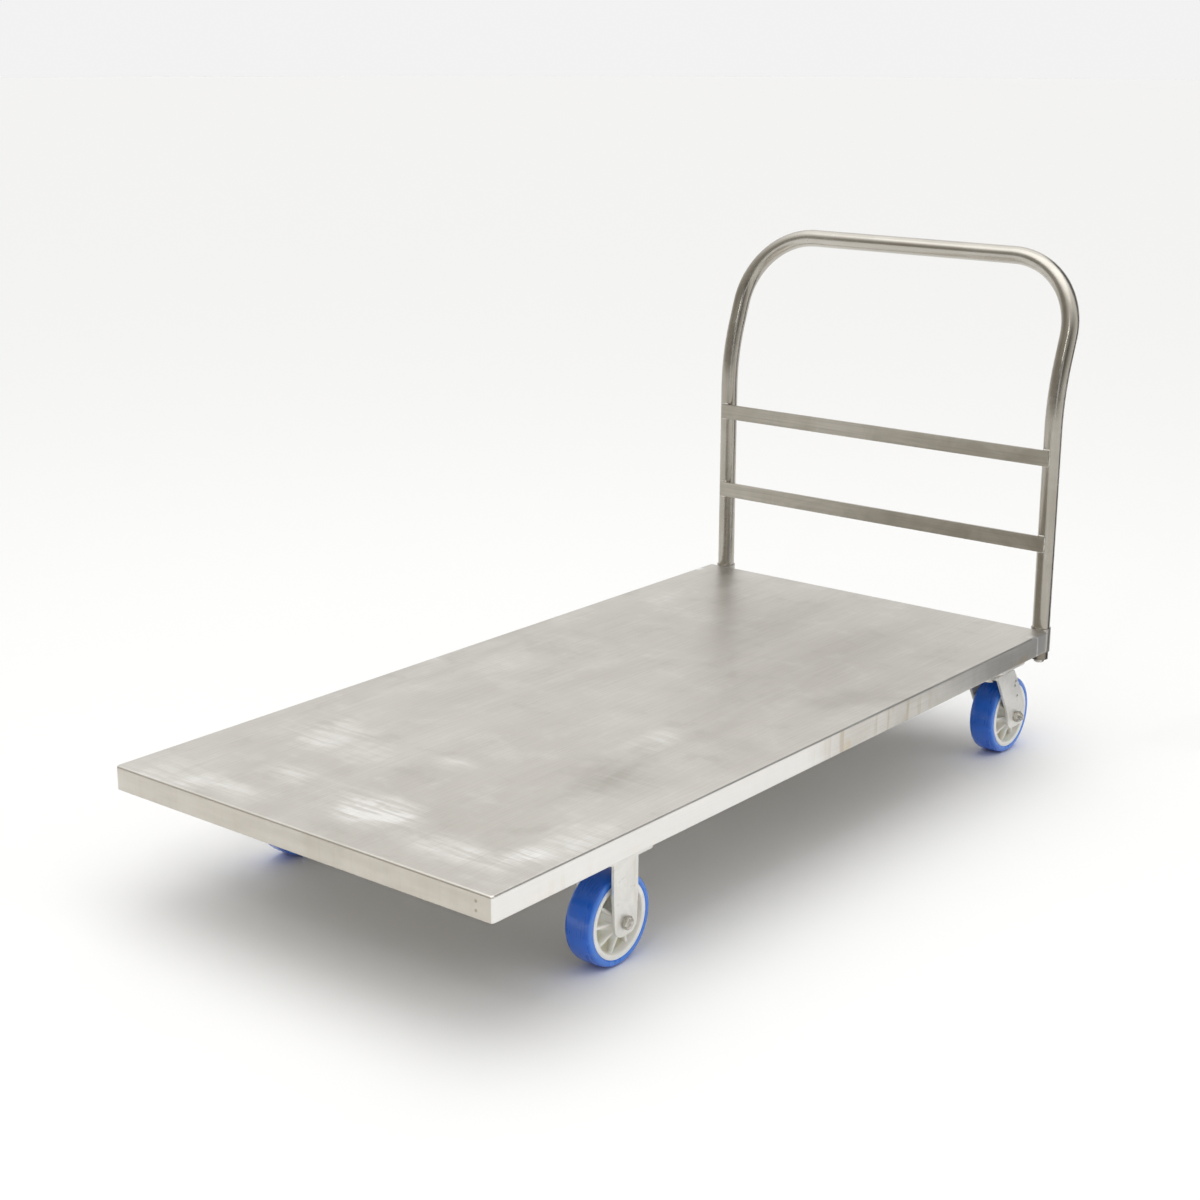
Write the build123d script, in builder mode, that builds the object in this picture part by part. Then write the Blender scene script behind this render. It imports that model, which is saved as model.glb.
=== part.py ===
from build123d import *
import math
import os

# Stainless platform trolley: folded deck on four casters with a bolted-in tube handle.
# Row frame in millimetres: +X towards the fixed-caster end, +Y left, +Z up,
# origin on the floor under the centre of the overall box.

os.makedirs("parts", exist_ok=True)

# --- deck -----------------------------------------------------------------
DECK_LENGTH = 1600.0
DECK_WIDTH = 800.0
DECK_TOP = 236.0
SKIRT_DEPTH = 40.0
SHEET = 2.5
CORNER_RADIUS = 7.0
FOLD_RADIUS = 4.0
SKIRT_BOTTOM = DECK_TOP - SKIRT_DEPTH
SHEET_UNDERSIDE = DECK_TOP - SHEET

# --- handle ---------------------------------------------------------------
TUBE_RADIUS = 16.85
TUBE_WALL = 2.0
POST_SPACING = 750.0
SOCKET_RADIUS = 19.0
SOCKET_BORE = 17.0
SOCKET_LENGTH = 46.0
POST_BOTTOM = 174.0
LEAN_START = DECK_TOP + 452.0
HANDLE_TOP = DECK_TOP + 697.5
LEAN = 87.15
LEAN_BEND = 380.0
GRIP_BEND = 147.0
BAR_HEIGHT = 30.0
BAR_THICKNESS = 5.0
BAR_HALF_LENGTH = 379.0
UPPER_BAR = DECK_TOP + 336.0
LOWER_BAR = DECK_TOP + 169.0

# the handle reaches past the deck, so the deck sits forward of the origin
DECK_X = (SOCKET_RADIUS + LEAN + TUBE_RADIUS) / 2
FRONT = DECK_X + DECK_LENGTH / 2
REAR = DECK_X - DECK_LENGTH / 2
POST_X = REAR - SOCKET_RADIUS
POST_Y = POST_SPACING / 2
GRIP_X = POST_X - LEAN

# --- underframe -----------------------------------------------------------
CHANNEL_WALL = 3.0
CHANNEL_DEPTH = SHEET_UNDERSIDE - SKIRT_BOTTOM
CHANNEL_SPAN = DECK_WIDTH - 2 * SHEET
PAD_THICKNESS = 6.0
RIGID_X = DECK_X + 473.0
SWIVEL_X = DECK_X - 691.0
CASTER_Y = 337.0

# --- casters --------------------------------------------------------------
PLATE_LENGTH = 105.0
PLATE_WIDTH = 100.0
PLATE_CORNER = 10.0
PLATE_THICKNESS = 6.0
PLATE_TOP = SKIRT_BOTTOM - PAD_THICKNESS
PLATE_BOTTOM = PLATE_TOP - PLATE_THICKNESS
BOLT_X = 80.0
BOLT_Y = 60.0
BOLT_RADIUS = 4.0
BOLT_HOLE = 4.5
WHEEL_RADIUS = 75.0
RIM_RADIUS = 62.5
WHEEL_WIDTH = 49.0
HUB_LENGTH = 58.0
AXLE_Z = WHEEL_RADIUS
AXLE_RADIUS = 6.0
AXLE_HOLE = 6.05
SLEEVE_RADIUS = 10.0
BEARING_BORE = 10.08
BEARING_RADIUS = 15.0
LEG_INSIDE = 31.0
LEG_THICKNESS = 5.0
LEG_OUTSIDE = LEG_INSIDE + LEG_THICKNESS
TRAIL = 48.0
REAR_AXLE_X = SWIVEL_X - TRAIL
RIB_COUNT = 9
RIB_THICKNESS = 5.0

# swivel head, heights from the floor
RACE_BOTTOM = 176.0
CROWN_TOP = 172.0
CROWN_THICKNESS = 6.0
BALL_Z = 174.0
BALL_RADIUS = 3.0
BALL_CIRCLE = 25.0
BALL_COUNT = 20
KINGPIN_RADIUS = 8.0
KINGPIN_HOLE = 8.05

SIDES = (("left", 1), ("right", -1))
HEX = 2 / math.sqrt(3)


def save(part, name):
    part.label = name
    export_step(part, f"parts/{name}.step")


def facing(x, y, z, side):
    """Plane square to the axle, whose normal points outwards on that side."""
    return Plane(origin=(x, y, z), x_dir=(1, 0, 0), z_dir=(0, side, 0))


# --- deck pan -------------------------------------------------------------
with BuildPart() as deck_pan:
    with BuildSketch(Plane.XY.offset(SKIRT_BOTTOM)):
        with Locations((DECK_X, 0)):
            RectangleRounded(DECK_LENGTH, DECK_WIDTH, CORNER_RADIUS)
    extrude(amount=SKIRT_DEPTH)
    fillet(deck_pan.faces().sort_by(Axis.Z)[-1].edges(), FOLD_RADIUS)
    with BuildSketch(Plane.XY.offset(SKIRT_BOTTOM)):
        with Locations((DECK_X, 0)):
            RectangleRounded(DECK_LENGTH - 2 * SHEET, DECK_WIDTH - 2 * SHEET, CORNER_RADIUS - SHEET)
    extrude(amount=SKIRT_DEPTH - SHEET, mode=Mode.SUBTRACT)
save(deck_pan.part, "deck_pan")


# --- cross channels under the deck ----------------------------------------
def cross_channel(name, x, width, has_casters):
    """Open-topped channel welded across the pan, with bolt pads where casters mount."""
    base = (Align.CENTER, Align.CENTER, Align.MIN)
    with BuildPart() as channel:
        with Locations((x, 0, SKIRT_BOTTOM)):
            Box(width, CHANNEL_SPAN, CHANNEL_DEPTH, align=base)
        with Locations((x, 0, SKIRT_BOTTOM + CHANNEL_WALL)):
            Box(width - 2 * CHANNEL_WALL, CHANNEL_SPAN, CHANNEL_DEPTH, align=base, mode=Mode.SUBTRACT)
        if has_casters:
            with Locations((x, CASTER_Y, PLATE_TOP), (x, -CASTER_Y, PLATE_TOP)):
                Box(PLATE_LENGTH, PLATE_WIDTH, PAD_THICKNESS, align=base)
            with Locations((x, CASTER_Y, PLATE_TOP), (x, -CASTER_Y, PLATE_TOP)):
                with GridLocations(BOLT_X, BOLT_Y, 2, 2):
                    Cylinder(BOLT_HOLE, PAD_THICKNESS + CHANNEL_WALL, align=base, mode=Mode.SUBTRACT)
    save(channel.part, name)


cross_channel("front_channel", DECK_X + 700.0, 60.0, False)
cross_channel("rigid_caster_channel", RIGID_X, 120.0, True)
cross_channel("middle_channel", DECK_X - 109.0, 60.0, False)
cross_channel("swivel_caster_channel", SWIVEL_X, 120.0, True)

# --- handle sockets, one welded to each rear corner ------------------------
for label, side in SIDES:
    with BuildPart() as socket:
        with BuildSketch(Plane.XY.offset(DECK_TOP - SOCKET_LENGTH)):
            with Locations((POST_X, side * POST_Y)):
                Circle(SOCKET_RADIUS)
                Circle(SOCKET_BORE, mode=Mode.SUBTRACT)
        extrude(amount=SOCKET_LENGTH)
    save(socket.part, f"handle_socket_{label}")

# --- bent handle tube -------------------------------------------------------
with BuildLine() as handle_path:
    FilletPolyline(
        (POST_X, -POST_Y, POST_BOTTOM),
        (POST_X, -POST_Y, LEAN_START),
        (GRIP_X, -POST_Y, HANDLE_TOP),
        (GRIP_X, POST_Y, HANDLE_TOP),
        (POST_X, POST_Y, LEAN_START),
        (POST_X, POST_Y, POST_BOTTOM),
        radius=[LEAN_BEND, GRIP_BEND, GRIP_BEND, LEAN_BEND],
    )
with BuildPart() as handle_tube:
    for run in handle_path.line.edges():
        with BuildSketch(Plane(origin=run @ 0, z_dir=run % 0)):
            Circle(TUBE_RADIUS)
            Circle(TUBE_RADIUS - TUBE_WALL, mode=Mode.SUBTRACT)
        sweep(path=run)
save(handle_tube.part, "handle_tube")

# --- flat crossbars on the front of the posts -------------------------------
for name, height in (("upper_crossbar", UPPER_BAR), ("lower_crossbar", LOWER_BAR)):
    with BuildPart() as crossbar:
        with Locations((POST_X + TUBE_RADIUS, 0, height)):
            Box(BAR_THICKNESS, 2 * BAR_HALF_LENGTH, BAR_HEIGHT, align=(Align.MIN, Align.CENTER, Align.CENTER))
        fillet(crossbar.edges().filter_by(Axis.X), 2.0)
    save(crossbar.part, name)

# --- plugs and bolts that close the foot of each post -----------------------
for label, side in SIDES:
    foot = Plane(origin=(POST_X, side * POST_Y, POST_BOTTOM))
    with BuildPart() as plug:
        with BuildSketch(foot):
            Circle(TUBE_RADIUS - TUBE_WALL)
            Circle(5.0, mode=Mode.SUBTRACT)
        extrude(amount=24.0)
    save(plug.part, f"handle_plug_{label}")

    with BuildPart() as bolt:
        with BuildSketch(foot):
            Circle(5.0)
        extrude(amount=20.0)
        with BuildSketch(foot):
            Circle(11.0)
        extrude(amount=-1.5)
        with BuildSketch(foot.offset(-1.5)):
            RegularPolygon(8.5 * HEX, 6)
        extrude(amount=-6.0)
        chamfer(bolt.faces().sort_by(Axis.Z)[0].edges(), 0.8)
    save(bolt.part, f"handle_bolt_{label}")


# --- pieces common to both kinds of caster ----------------------------------
def plate_fasteners(name, x, y):
    """Four hex bolts with nuts, heads below the plate and nuts inside the channel."""
    nut_base = SKIRT_BOTTOM + CHANNEL_WALL
    with BuildPart() as fasteners:
        with Locations((x, y)):
            with GridLocations(BOLT_X, BOLT_Y, 2, 2) as spots:
                points = [place.position for place in spots.locations]
        for point in points:
            with BuildSketch(Plane(origin=(point.X, point.Y, PLATE_BOTTOM))):
                RegularPolygon(6.5 * HEX, 6)
            extrude(amount=-5.3)
            with BuildSketch(Plane(origin=(point.X, point.Y, PLATE_BOTTOM))):
                Circle(BOLT_RADIUS)
            extrude(amount=nut_base - PLATE_BOTTOM + 9.0)
            with BuildSketch(Plane(origin=(point.X, point.Y, nut_base))):
                RegularPolygon(6.5 * HEX, 6)
            extrude(amount=6.5)
    save(fasteners.part, name)


def mounting_plate():
    """Plate with its four bolt holes, centred on the caster; used inside a BuildPart."""
    base = (Align.CENTER, Align.CENTER, Align.MIN)
    straight_x = PLATE_LENGTH - 2 * PLATE_CORNER
    straight_y = PLATE_WIDTH - 2 * PLATE_CORNER
    Box(straight_x, PLATE_WIDTH, PLATE_THICKNESS, align=base)
    Box(PLATE_LENGTH, straight_y, PLATE_THICKNESS, align=base)
    with GridLocations(straight_x, straight_y, 2, 2):
        Cylinder(PLATE_CORNER, PLATE_THICKNESS, align=base)
    with GridLocations(BOLT_X, BOLT_Y, 2, 2):
        Cylinder(BOLT_HOLE, PLATE_THICKNESS, align=base, mode=Mode.SUBTRACT)


def wheel(prefix, label, x, y):
    """Hub, bearing and tread turning on one axle."""
    centre = (x, y, AXLE_Z)
    radial = Plane(origin=centre, x_dir=(0, 1, 0), z_dir=(1, 0, 0))
    spin = Axis(centre, (0, 1, 0))
    half = WHEEL_WIDTH / 2

    with BuildPart() as tread:
        with BuildSketch(radial):
            with BuildLine():
                FilletPolyline(
                    (-half, RIM_RADIUS),
                    (-half, WHEEL_RADIUS - 3.0),
                    (-half + 7.0, WHEEL_RADIUS),
                    (half - 7.0, WHEEL_RADIUS),
                    (half, WHEEL_RADIUS - 3.0),
                    (half, RIM_RADIUS),
                    radius=[5.0, 8.0, 8.0, 5.0],
                )
                Line((half, RIM_RADIUS), (-half, RIM_RADIUS))
            make_face()
        revolve(axis=spin)
    save(tread.part, f"{prefix}_tread_{label}")

    with BuildPart() as bearing:
        with BuildSketch(radial):
            with Locations((0, (BEARING_BORE + BEARING_RADIUS) / 2)):
                Rectangle(HUB_LENGTH, BEARING_RADIUS - BEARING_BORE)
        revolve(axis=spin)
    save(bearing.part, f"{prefix}_bearing_{label}")

    with BuildPart() as hub:
        with BuildSketch(radial):
            Polygon(
                (-HUB_LENGTH / 2, BEARING_RADIUS),
                (-HUB_LENGTH / 2, 20.0),
                (-10.5, 26.5),
                (-8.0, 31.0),
                (-8.0, 50.0),
                (-12.0, 53.0),
                (-half, 54.0),
                (-half, RIM_RADIUS),
                (half, RIM_RADIUS),
                (half, 54.0),
                (12.0, 53.0),
                (8.0, 50.0),
                (8.0, 31.0),
                (10.5, 26.5),
                (HUB_LENGTH / 2, 20.0),
                (HUB_LENGTH / 2, BEARING_RADIUS),
                align=None,
            )
        revolve(axis=spin)
        for index in range(RIB_COUNT):
            turn = 2 * math.pi * index / RIB_COUNT
            along = Plane(origin=centre, x_dir=(0, 1, 0), z_dir=(math.sin(turn), 0, -math.cos(turn)))
            with BuildSketch(along):
                Polygon((-25.0, 20.5), (-15.0, 56.0), (15.0, 56.0), (25.0, 20.5), align=None)
            extrude(amount=RIB_THICKNESS / 2, both=True)
    save(hub.part, f"{prefix}_hub_{label}")


def axle_set(prefix, label, x, y, head_side):
    """Axle bolt, nut, spacer sleeve and thrust washers; the head is on head_side."""
    head = facing(x, y + head_side * LEG_OUTSIDE, AXLE_Z, head_side)
    tail = facing(x, y - head_side * LEG_OUTSIDE, AXLE_Z, -head_side)
    middle = facing(x, y, AXLE_Z, 1)

    with BuildPart() as bolt:
        with BuildSketch(tail):
            Circle(AXLE_RADIUS)
        extrude(amount=-2 * LEG_OUTSIDE)
        with BuildSketch(tail):
            Circle(AXLE_RADIUS)
        extrude(amount=16.0)
        chamfer(bolt.edges().group_by(Axis.Y)[0 if head_side > 0 else -1], 1.2)
        with BuildSketch(head):
            RegularPolygon(9.5 * HEX, 6)
        extrude(amount=7.5)
    save(bolt.part, f"{prefix}_axle_bolt_{label}")

    with BuildPart() as nut:
        with BuildSketch(tail):
            RegularPolygon(9.5 * HEX, 6)
            Circle(AXLE_HOLE, mode=Mode.SUBTRACT)
        extrude(amount=12.0)
    save(nut.part, f"{prefix}_axle_nut_{label}")

    with BuildPart() as sleeve:
        with BuildSketch(middle):
            Circle(SLEEVE_RADIUS)
            Circle(AXLE_HOLE, mode=Mode.SUBTRACT)
        extrude(amount=LEG_INSIDE, both=True)
    save(sleeve.part, f"{prefix}_axle_sleeve_{label}")

    with BuildPart() as washers:
        for way in (1, -1):
            with BuildSketch(facing(x, y + way * 29.3, AXLE_Z, way)):
                Circle(17.0)
                Circle(SLEEVE_RADIUS + 0.05, mode=Mode.SUBTRACT)
            extrude(amount=1.5)
    save(washers.part, f"{prefix}_axle_washers_{label}")


def fork_legs(x, y, points, radii):
    """Both legs of a fork, cut from plate to one outline of (x, height) points."""
    with BuildPart() as legs:
        for way in (1, -1):
            corners = [(point_x, -way * point_z) for point_x, point_z in points]
            with BuildSketch(facing(x, y + way * LEG_INSIDE, 0, way)):
                with BuildLine():
                    FilletPolyline(*corners, radius=radii, close=True)
                make_face()
            extrude(amount=LEG_THICKNESS)
    return legs.part


# --- fixed casters at the front ----------------------------------------------
for label, side in SIDES:
    y = side * CASTER_Y
    rigid_legs = fork_legs(
        RIGID_X,
        y,
        [(-29, PLATE_BOTTOM), (-29, 120), (-25.5, 54), (25.5, 54), (29, 120), (29, PLATE_BOTTOM)],
        [0, 30, 18, 18, 30, 0],
    )
    with BuildPart() as bracket:
        with Locations((RIGID_X, y, PLATE_BOTTOM)):
            mounting_plate()
        with Locations((RIGID_X, y, PLATE_BOTTOM)):
            Box(58.0, 2 * LEG_OUTSIDE, 5.0, align=(Align.CENTER, Align.CENTER, Align.MAX))
        add(rigid_legs)
        with Locations(facing(RIGID_X, y, AXLE_Z, 1)):
            Cylinder(AXLE_HOLE, 2 * LEG_OUTSIDE + 1, mode=Mode.SUBTRACT)
    save(bracket.part, f"rigid_bracket_{label}")
    plate_fasteners(f"rigid_plate_fasteners_{label}", RIGID_X, y)
    axle_set("front", label, RIGID_X, y, side)
    wheel("front", label, RIGID_X, y)

# --- swivel casters at the handle end ----------------------------------------
for label, side in SIDES:
    y = side * CASTER_Y
    ball_plane = Plane(origin=(SWIVEL_X, y, BALL_Z))
    steer = Axis((SWIVEL_X, y, 0), (0, 0, 1))
    section = Plane(origin=(SWIVEL_X, y, BALL_Z), x_dir=(1, 0, 0), z_dir=(0, -1, 0))

    with BuildPart() as top_plate:
        with Locations((SWIVEL_X, y, PLATE_BOTTOM)):
            mounting_plate()
        with BuildSketch(Plane(origin=(SWIVEL_X, y, RACE_BOTTOM))):
            Circle(33.0)
        extrude(amount=PLATE_BOTTOM - RACE_BOTTOM)
        with BuildSketch(Plane(origin=(SWIVEL_X, y, RACE_BOTTOM))):
            Circle(KINGPIN_RADIUS)
        extrude(amount=PLATE_TOP - RACE_BOTTOM, mode=Mode.SUBTRACT)
        with BuildSketch(section):
            with Locations((BALL_CIRCLE, 0)):
                Circle(BALL_RADIUS + 0.3)
        revolve(axis=steer, mode=Mode.SUBTRACT)
    save(top_plate.part, f"swivel_plate_{label}")
    plate_fasteners(f"swivel_plate_fasteners_{label}", SWIVEL_X, y)

    with BuildPart() as kingpin:
        with BuildSketch(Plane(origin=(SWIVEL_X, y, PLATE_TOP))):
            Circle(KINGPIN_RADIUS)
        extrude(amount=-40.0)
        with BuildSketch(Plane(origin=(SWIVEL_X, y, 165.8))):
            Circle(14.0)
        extrude(amount=-4.8)
        with BuildSketch(Plane(origin=(SWIVEL_X, y, 161.0))):
            RegularPolygon(12.0 * HEX, 6)
        extrude(amount=-9.0)
    save(kingpin.part, f"kingpin_{label}")

    swivel_legs = fork_legs(
        SWIVEL_X,
        y,
        [(33, CROWN_TOP), (-14, 92), (-21, 54), (-80, 54), (-86, 82), (-68, 120), (-33, CROWN_TOP)],
        [0, 30, 18, 20, 25, 60, 0],
    )
    with BuildPart() as fork:
        with BuildSketch(Plane(origin=(SWIVEL_X, y, CROWN_TOP))):
            RectangleRounded(66.0, 2 * LEG_OUTSIDE, 6.0)
        extrude(amount=-CROWN_THICKNESS)
        add(swivel_legs)
        with Locations((SWIVEL_X, y, CROWN_TOP - CROWN_THICKNESS)):
            Cylinder(KINGPIN_HOLE, 2 * CROWN_THICKNESS, mode=Mode.SUBTRACT)
        with BuildSketch(section):
            with Locations((BALL_CIRCLE, 0)):
                Circle(BALL_RADIUS + 0.05)
        revolve(axis=steer, mode=Mode.SUBTRACT)
        with Locations(facing(REAR_AXLE_X, y, AXLE_Z, 1)):
            Cylinder(AXLE_HOLE, 2 * LEG_OUTSIDE + 1, mode=Mode.SUBTRACT)
        for hole_x, hole_z in ((-50, 116), (-39.5, 139), (-41.5, 148)):
            with Locations(facing(SWIVEL_X + hole_x, y + side * LEG_OUTSIDE, hole_z, side)):
                Cylinder(2.8, 3 * LEG_THICKNESS, mode=Mode.SUBTRACT)
    save(fork.part, f"swivel_fork_{label}")

    with BuildPart() as balls:
        with Locations(ball_plane):
            with PolarLocations(BALL_CIRCLE, BALL_COUNT):
                Sphere(BALL_RADIUS)
    save(balls.part, f"swivel_balls_{label}")

    with BuildPart() as seal:
        with BuildSketch(Plane(origin=(SWIVEL_X, y, CROWN_TOP))):
            Circle(36.0)
            Circle(34.0, mode=Mode.SUBTRACT)
        extrude(amount=9.0)
    save(seal.part, f"swivel_seal_{label}")

    axle_set("rear", label, REAR_AXLE_X, y, -side)
    wheel("rear", label, REAR_AXLE_X, y)
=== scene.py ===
import math

import bmesh
import bpy
from mathutils import Matrix, Vector, noise


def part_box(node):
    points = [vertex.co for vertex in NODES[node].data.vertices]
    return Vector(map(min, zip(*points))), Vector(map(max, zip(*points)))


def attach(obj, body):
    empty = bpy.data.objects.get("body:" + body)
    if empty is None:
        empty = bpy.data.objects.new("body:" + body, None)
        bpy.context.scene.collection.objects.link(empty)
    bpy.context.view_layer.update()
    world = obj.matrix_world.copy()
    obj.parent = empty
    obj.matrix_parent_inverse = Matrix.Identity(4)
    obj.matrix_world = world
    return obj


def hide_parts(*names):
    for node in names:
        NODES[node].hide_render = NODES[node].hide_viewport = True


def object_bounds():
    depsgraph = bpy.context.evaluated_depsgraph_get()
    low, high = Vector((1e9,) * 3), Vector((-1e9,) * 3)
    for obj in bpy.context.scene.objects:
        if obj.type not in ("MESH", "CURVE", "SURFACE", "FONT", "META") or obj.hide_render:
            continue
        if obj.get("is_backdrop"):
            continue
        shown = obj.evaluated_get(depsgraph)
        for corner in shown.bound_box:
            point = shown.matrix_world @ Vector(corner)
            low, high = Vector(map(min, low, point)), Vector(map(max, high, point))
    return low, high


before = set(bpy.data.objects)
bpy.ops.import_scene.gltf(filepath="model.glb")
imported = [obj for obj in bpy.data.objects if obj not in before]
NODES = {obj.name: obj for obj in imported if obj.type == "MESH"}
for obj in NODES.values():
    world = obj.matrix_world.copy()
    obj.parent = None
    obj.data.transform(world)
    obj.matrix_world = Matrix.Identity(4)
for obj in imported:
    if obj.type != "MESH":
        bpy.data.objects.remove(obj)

# Looks of a stainless platform trolley. Metres, +X to the fixed-caster end, +Z up.
cad_low, cad_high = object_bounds()
SIDES = (("left", 1), ("right", -1))
MM = 0.001
TURN = 2 * math.pi
# two spot welds, one above the other, sunk in the front skirt near its left end
SPOT_WELD_Y = 0.37
SPOT_WELD_HEIGHTS = (0.2225, 0.2083)


# ---------------------------------------------------------------- materials
class Paint:
    """A material's node tree, with short calls for the nodes used here."""

    def __init__(self, name, metallic, roughness, soft_edge=0.0, **shader_values):
        self.material = bpy.data.materials.new(name)
        self.material.use_nodes = True
        self.tree = self.material.node_tree
        self.shader = self.tree.nodes["Principled BSDF"]
        self.place = self.node("ShaderNodeTexCoord").outputs["Object"]
        self.shader.inputs["Metallic"].default_value = metallic
        self.shader.inputs["Roughness"].default_value = roughness
        for socket, value in shader_values.items():
            self.shader.inputs[socket.replace("_", " ")].default_value = value
        self.normal = None
        if soft_edge:
            edge = self.node("ShaderNodeBevel")
            edge.samples = 4
            edge.inputs["Radius"].default_value = soft_edge
            self.normal = edge.outputs["Normal"]

    def node(self, kind):
        return self.tree.nodes.new(kind)

    def feed(self, socket, value):
        if isinstance(value, bpy.types.NodeSocket):
            self.tree.links.new(value, socket)
        elif isinstance(value, (tuple, list)) and len(value) == 3 and socket.type == "RGBA":
            socket.default_value = (*value, 1.0)
        else:
            socket.default_value = value

    def stretch(self, x, y, z):
        made = self.node("ShaderNodeMapping")
        self.feed(made.inputs["Vector"], self.place)
        made.inputs["Scale"].default_value = (x, y, z)
        return made.outputs["Vector"]

    def noise(self, scale, detail=3.0, roughness=0.5, distortion=0.0, vector=None):
        made = self.node("ShaderNodeTexNoise")
        self.feed(made.inputs["Vector"], vector or self.place)
        made.inputs["Scale"].default_value = scale
        made.inputs["Detail"].default_value = detail
        made.inputs["Roughness"].default_value = roughness
        made.inputs["Distortion"].default_value = distortion
        return made.outputs["Fac"]

    def span(self, value, low, high, to_low=0.0, to_high=1.0, smooth=True):
        made = self.node("ShaderNodeMapRange")
        made.interpolation_type = "SMOOTHSTEP" if smooth else "LINEAR"
        for index, given in enumerate((value, low, high, to_low, to_high)):
            self.feed(made.inputs[index], given)
        return made.outputs[0]

    def maths(self, operation, a, b=0.0):
        made = self.node("ShaderNodeMath")
        made.operation = operation
        self.feed(made.inputs[0], a)
        self.feed(made.inputs[1], b)
        return made.outputs[0]

    def mix(self, share, a, b):
        made = self.node("ShaderNodeMix")
        made.data_type = "RGBA"
        self.feed(made.inputs[0], share)
        self.feed(made.inputs[6], a)
        self.feed(made.inputs[7], b)
        return made.outputs[2]

    def axes(self, source=None):
        made = self.node("ShaderNodeSeparateXYZ")
        self.feed(made.inputs[0], source or self.place)
        return made.outputs

    def attribute(self, name):
        made = self.node("ShaderNodeAttribute")
        made.attribute_name = name
        return made.outputs["Fac"]

    def bump(self, height, distance, strength=1.0):
        made = self.node("ShaderNodeBump")
        made.inputs["Distance"].default_value = distance
        made.inputs["Strength"].default_value = strength
        self.feed(made.inputs["Height"], height)
        if self.normal:
            self.feed(made.inputs["Normal"], self.normal)
        self.normal = made.outputs["Normal"]

    def done(self, colour, roughness=None):
        self.feed(self.shader.inputs["Base Color"], colour)
        if roughness is not None:
            self.feed(self.shader.inputs["Roughness"], roughness)
        if self.normal:
            self.feed(self.shader.inputs["Normal"], self.normal)
        return self.material


def near(paint, point, radii):
    """1 at a point, fading to 0 on an ellipsoid of those radii round it."""
    shifted = paint.node("ShaderNodeMapping")
    paint.feed(shifted.inputs["Vector"], paint.place)
    shifted.inputs["Location"].default_value = [-p / r for p, r in zip(point, radii)]
    shifted.inputs["Scale"].default_value = [1 / r for r in radii]
    length = paint.node("ShaderNodeVectorMath")
    length.operation = "LENGTH"
    paint.feed(length.inputs[0], shifted.outputs["Vector"])
    return paint.span(length.outputs["Value"], 0.0, 1.0, 1.0, 0.0)


# places on the deck top: (x, y), (radius x, radius y), strength
RUBS = (
    ((0.745, 0.06), (0.085, 0.12), 1.15),
    ((0.70, 0.0), (0.05, 0.12), 0.35),
    ((0.81, -0.175), (0.045, 0.11), 0.6),
    ((0.71, -0.155), (0.07, 0.10), 0.5),
    ((0.775, 0.24), (0.065, 0.12), 0.85),
    ((0.74, 0.34), (0.08, 0.05), 0.6),
    ((0.515, 0.01), (0.04, 0.07), 0.5),
    ((0.48, -0.266), (0.12, 0.04), 0.2),
)
STAINS = (
    ((0.40, 0.27), (0.13, 0.10), 1.0),
    ((0.46, 0.24), (0.16, 0.05), 0.7),
    ((0.165, 0.29), (0.05, 0.13), 0.6),
    ((-0.18, 0.305), (0.03, 0.05), 0.8),
)


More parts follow.
